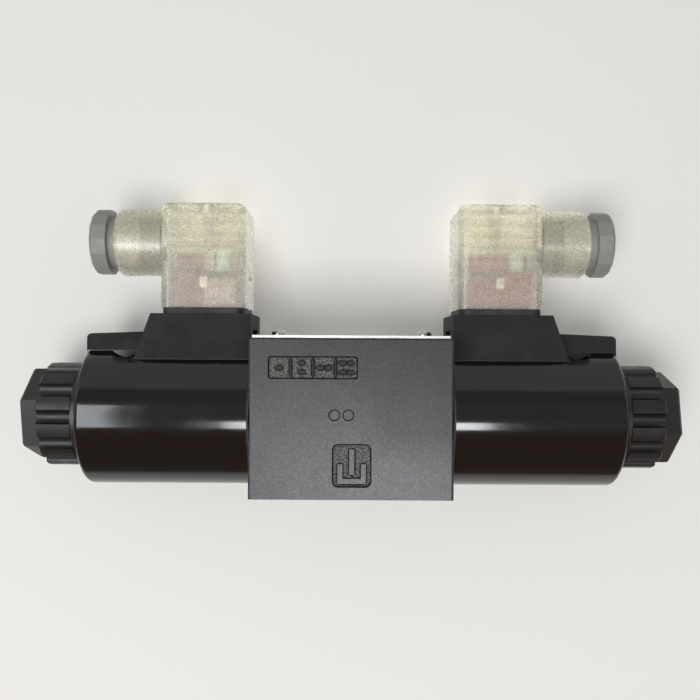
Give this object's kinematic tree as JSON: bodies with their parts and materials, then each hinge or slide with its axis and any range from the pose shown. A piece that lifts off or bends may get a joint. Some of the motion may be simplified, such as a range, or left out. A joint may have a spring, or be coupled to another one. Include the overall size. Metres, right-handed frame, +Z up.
{
  "type": "solenoid directional valve",
  "caption": "Hydraulic directional valve: square body between two round black coils with end nuts, each with a clear plug connector and cable gland on top.",
  "frame": {"origin": "centre of the mounting face, at the middle of the object's length and width", "axes": "+X along the spool towards the B side solenoid, +Z up from the mounting face, tank port on the -Y side"},
  "size_m": [0.217, 0.048, 0.0957],
  "materials": {
    "body_iron": "phosphated cast iron, fine dark speckle, satin",
    "spool_steel": "ground hardened steel",
    "black_rubber": "black nitrile rubber, matt",
    "plate_aluminium": "bright rolled aluminium sheet",
    "screw_steel": "zinc plated steel",
    "spring_steel": "drawn spring wire",
    "core_steel": "turned soft magnetic steel",
    "tube_steel": "turned stainless steel",
    "bobbin_plastic": "glass filled nylon",
    "copper_wire": "enamelled copper wire",
    "yoke_iron": "soft iron shell",
    "coil_plastic": "glossy black thermoset drum, satin terminal block",
    "contact_brass": "tinned brass",
    "washer_rubber": "black rubber",
    "clear_plastic": "clear pale yellow polycarbonate, lightly frosted inside",
    "insert_plastic": "faded red moulding",
    "grommet_rubber": "dark grey rubber",
    "gland_plastic": "grey nylon",
    "nut_plastic": "black glass filled nylon, satin",
    "lamp_plastic": "pale diffusing lens"
  },
  "bodies": {
    "root": {"valve_body": "body_iron", "port_orings": "black_rubber", "nameplate": "plate_aluminium", "nameplate_screws": "screw_steel", "centring_spring_left": "spring_steel", "pole_piece_left": "core_steel", "tube_seal_left": "black_rubber", "core_tube_left": "tube_steel", "tube_plug_left": "core_steel", "override_seal_left": "black_rubber", "coil_gasket_left": "black_rubber", "centring_spring_right": "spring_steel", "pole_piece_right": "core_steel", "tube_seal_right": "black_rubber", "core_tube_right": "tube_steel", "tube_plug_right": "core_steel", "override_seal_right": "black_rubber", "coil_gasket_right": "black_rubber"},
    "spool": {"spool": "spool_steel", "spring_seat_left": "spool_steel", "spring_seat_right": "spool_steel"},
    "armature_left": {"armature_left": "core_steel", "push_pin_left": "tube_steel"},
    "override_left": {"override_pin_left": "screw_steel"},
    "coil_left": {"coil_bobbin_left": "bobbin_plastic", "coil_winding_left": "copper_wire", "coil_yoke_left": "yoke_iron", "coil_housing_left": "coil_plastic", "coil_terminals_left": "contact_brass", "nut_washer_left": "washer_rubber", "connector_gasket_left": "black_rubber", "connector_housing_left": "clear_plastic", "terminal_insert_left": "insert_plastic", "indicator_module_left": "insert_plastic", "indicator_lamp_left": "lamp_plastic", "connector_screw_left": "screw_steel", "gland_grommet_left": "grommet_rubber", "gland_washer_left": "gland_plastic"},
    "nut_left": {"coil_nut_left": "nut_plastic"},
    "gland_left": {"gland_nut_left": "gland_plastic"},
    "armature_right": {"armature_right": "core_steel", "push_pin_right": "tube_steel"},
    "override_right": {"override_pin_right": "screw_steel"},
    "coil_right": {"coil_bobbin_right": "bobbin_plastic", "coil_winding_right": "copper_wire", "coil_yoke_right": "yoke_iron", "coil_housing_right": "coil_plastic", "coil_terminals_right": "contact_brass", "nut_washer_right": "washer_rubber", "connector_gasket_right": "black_rubber", "connector_housing_right": "clear_plastic", "terminal_insert_right": "insert_plastic", "indicator_module_right": "insert_plastic", "indicator_lamp_right": "lamp_plastic", "connector_screw_right": "screw_steel", "gland_grommet_right": "grommet_rubber", "gland_washer_right": "gland_plastic"},
    "nut_right": {"coil_nut_right": "nut_plastic"},
    "gland_right": {"gland_nut_right": "gland_plastic"}
  },
  "joints": [
    {"name": "spool_slide", "type": "slide", "parent": "root", "child": "spool", "axis": [1, 0, 0], "range_m": [-0.003, 0.003], "stiffness_N_per_m": 1500, "deforming": ["centring_spring_left", "centring_spring_right"]},
    {"name": "armature_left_slide", "type": "slide", "parent": "root", "child": "armature_left", "axis": [1, 0, 0], "range_m": [-0.003, 0.003]},
    {"name": "override_left_slide", "type": "slide", "parent": "root", "child": "override_left", "axis": [1, 0, 0], "range_m": [0, 0.003], "stiffness_N_per_m": 50},
    {"name": "coil_left_turn", "type": "hinge", "parent": "root", "child": "coil_left", "pos_m": [-0.06, 0, 0.025], "axis": [1, 0, 0], "range_deg": [-90, 90]},
    {"name": "nut_left_turn", "type": "hinge", "parent": "root", "child": "nut_left", "pos_m": [-0.098, 0, 0.025], "axis": [1, 0, 0], "continuous": true},
    {"name": "gland_left_turn", "type": "hinge", "parent": "coil_left", "child": "gland_left", "pos_m": [-0.08, 0, 0.0838], "axis": [1, 0, 0], "continuous": true},
    {"name": "armature_right_slide", "type": "slide", "parent": "root", "child": "armature_right", "axis": [1, 0, 0], "range_m": [-0.003, 0.003]},
    {"name": "override_right_slide", "type": "slide", "parent": "root", "child": "override_right", "axis": [-1, 0, 0], "range_m": [0, 0.003], "stiffness_N_per_m": 50},
    {"name": "coil_right_turn", "type": "hinge", "parent": "root", "child": "coil_right", "pos_m": [0.06, 0, 0.025], "axis": [1, 0, 0], "range_deg": [-90, 90]},
    {"name": "nut_right_turn", "type": "hinge", "parent": "root", "child": "nut_right", "pos_m": [0.098, 0, 0.025], "axis": [1, 0, 0], "continuous": true},
    {"name": "gland_right_turn", "type": "hinge", "parent": "coil_right", "child": "gland_right", "pos_m": [0.08, 0, 0.0838], "axis": [1, 0, 0], "continuous": true}
  ],
  "couplings": [
    {"joint": "armature_left_slide", "follows": "spool_slide", "ratio": 1},
    {"joint": "armature_right_slide", "follows": "spool_slide", "ratio": 1}
  ]
}
